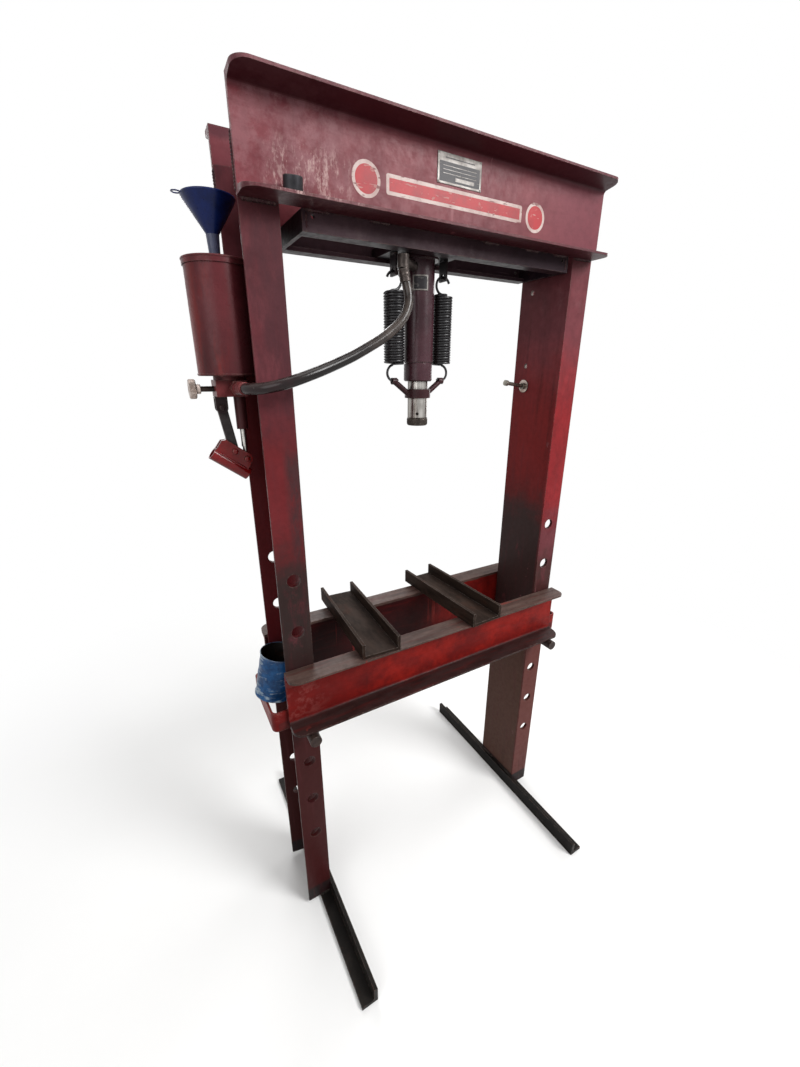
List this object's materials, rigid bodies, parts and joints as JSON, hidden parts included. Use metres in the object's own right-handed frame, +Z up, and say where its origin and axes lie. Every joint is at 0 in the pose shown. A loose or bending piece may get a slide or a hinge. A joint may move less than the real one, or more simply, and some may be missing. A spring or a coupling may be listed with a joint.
{
  "type": "hydraulic press",
  "caption": "Floor-standing hydraulic press with channel-steel frame, pin-hung bed, spring-returned ram and hand pump with hose.",
  "frame": {"origin": "on the floor, midway between the two columns", "axes": "+X to the operator's right, +Y to the back, +Z up"},
  "size_m": [0.995, 0.736, 1.866],
  "materials": {
    "frame_paint": "old dull dark red paint, worn",
    "bed_paint": "old brick red paint, worn to bare metal on the top flanges",
    "pump_paint": "old dark red paint with oil stains",
    "cylinder_paint": "dark satin paint",
    "black_paint": "black paint, dull",
    "dark_steel": "dark, oily steel",
    "bright_steel": "bare steel, dulled",
    "seal_rubber": "black rubber",
    "hose_rubber": "dusty black rubber",
    "plate_metal": "thin blank plate, satin",
    "blue_plastic": "deep blue plastic",
    "blue_paint": "printed tin in plain blue, scuffed"
  },
  "bodies": {
    "frame": {"left_column": "frame_paint", "right_column": "frame_paint", "left_foot": "black_paint", "right_foot": "black_paint", "front_head_beam": "frame_paint", "rear_head_beam": "frame_paint", "front_mount_rail": "frame_paint", "rear_mount_rail": "frame_paint", "left_rail_end": "frame_paint", "right_rail_end": "frame_paint", "cylinder_mount_plate": "frame_paint", "cylinder_barrel": "cylinder_paint", "cylinder_end_cap": "cylinder_paint", "cylinder_lock_ring": "dark_steel", "cylinder_gland": "cylinder_paint", "rod_seal": "seal_rubber", "cylinder_label": "plate_metal", "left_spring_hanger": "black_paint", "right_spring_hanger": "black_paint", "left_return_spring": "black_paint", "right_return_spring": "black_paint", "hose_elbow": "dark_steel", "oil_hose": "hose_rubber", "pump_hose_fitting": "dark_steel", "pump_bracket": "pump_paint", "valve_block": "pump_paint", "oil_tank": "pump_paint", "tank_lid": "pump_paint", "plunger_barrel": "dark_steel", "link_lug": "dark_steel", "lug_pin": "dark_steel", "funnel": "blue_plastic", "hanger_peg": "dark_steel", "peg_washer": "bright_steel", "peg_nut": "dark_steel", "press_sleeve": "dark_steel", "name_plate_blank": "plate_metal"},
    "ram": {"ram_rod": "bright_steel", "ram_piston": "bright_steel", "piston_seal": "seal_rubber", "spring_yoke": "black_paint", "ram_nose": "dark_steel"},
    "bed": {"front_bed_channel": "bed_paint", "rear_bed_channel": "bed_paint", "left_bed_strap": "bed_paint", "right_bed_strap": "bed_paint", "left_bolster": "dark_steel", "right_bolster": "dark_steel", "open_tin": "blue_paint"},
    "left_pin": {"left_bed_pin": "dark_steel"},
    "right_pin": {"right_bed_pin": "dark_steel"},
    "link": {"pump_link": "dark_steel"},
    "lever": {"lever_socket": "pump_paint", "fulcrum_pin": "dark_steel"},
    "plunger": {"pump_plunger": "bright_steel", "plunger_pin": "dark_steel"},
    "release_valve": {"valve_stem": "bright_steel", "release_knob": "bright_steel"}
  },
  "joints": [
    {"name": "ram_slide", "type": "slide", "parent": "frame", "child": "ram", "axis": [0, 0, -1], "range_m": [0, 0.15], "stiffness_N_per_m": 2000, "springref_m": -0.05, "deforming": ["left_return_spring", "right_return_spring"]},
    {"name": "bed_lift", "type": "slide", "parent": "frame", "child": "bed", "axis": [0, 0, 1], "range_m": [0, 0.254]},
    {"name": "left_pin_pull", "type": "slide", "parent": "frame", "child": "left_pin", "axis": [0, -1, 0], "range_m": [0, 0.26]},
    {"name": "right_pin_pull", "type": "slide", "parent": "frame", "child": "right_pin", "axis": [0, -1, 0], "range_m": [0, 0.26]},
    {"name": "link_swing", "type": "hinge", "parent": "frame", "child": "link", "pos_m": [-0.475, 0, 1.388], "axis": [0, 1, 0], "range_deg": [0, 4.2]},
    {"name": "pump_lever", "type": "hinge", "parent": "link", "child": "lever", "pos_m": [-0.4616, 0, 1.3032], "axis": [0, -1, 0], "range_deg": [0, 44]},
    {"name": "plunger_slide", "type": "slide", "parent": "frame", "child": "plunger", "axis": [0, 0, 1], "range_m": [0, 0.0172]},
    {"name": "release_turn", "type": "hinge", "parent": "frame", "child": "release_valve", "pos_m": [-0.484, 0, 1.422], "axis": [1, 0, 0], "range_deg": [0, 360]}
  ],
  "couplings": [
    {"joint": "link_swing", "follows": "pump_lever", "ratio": 0.09},
    {"joint": "plunger_slide", "follows": "pump_lever", "m_per_rad": 0.022137}
  ]
}
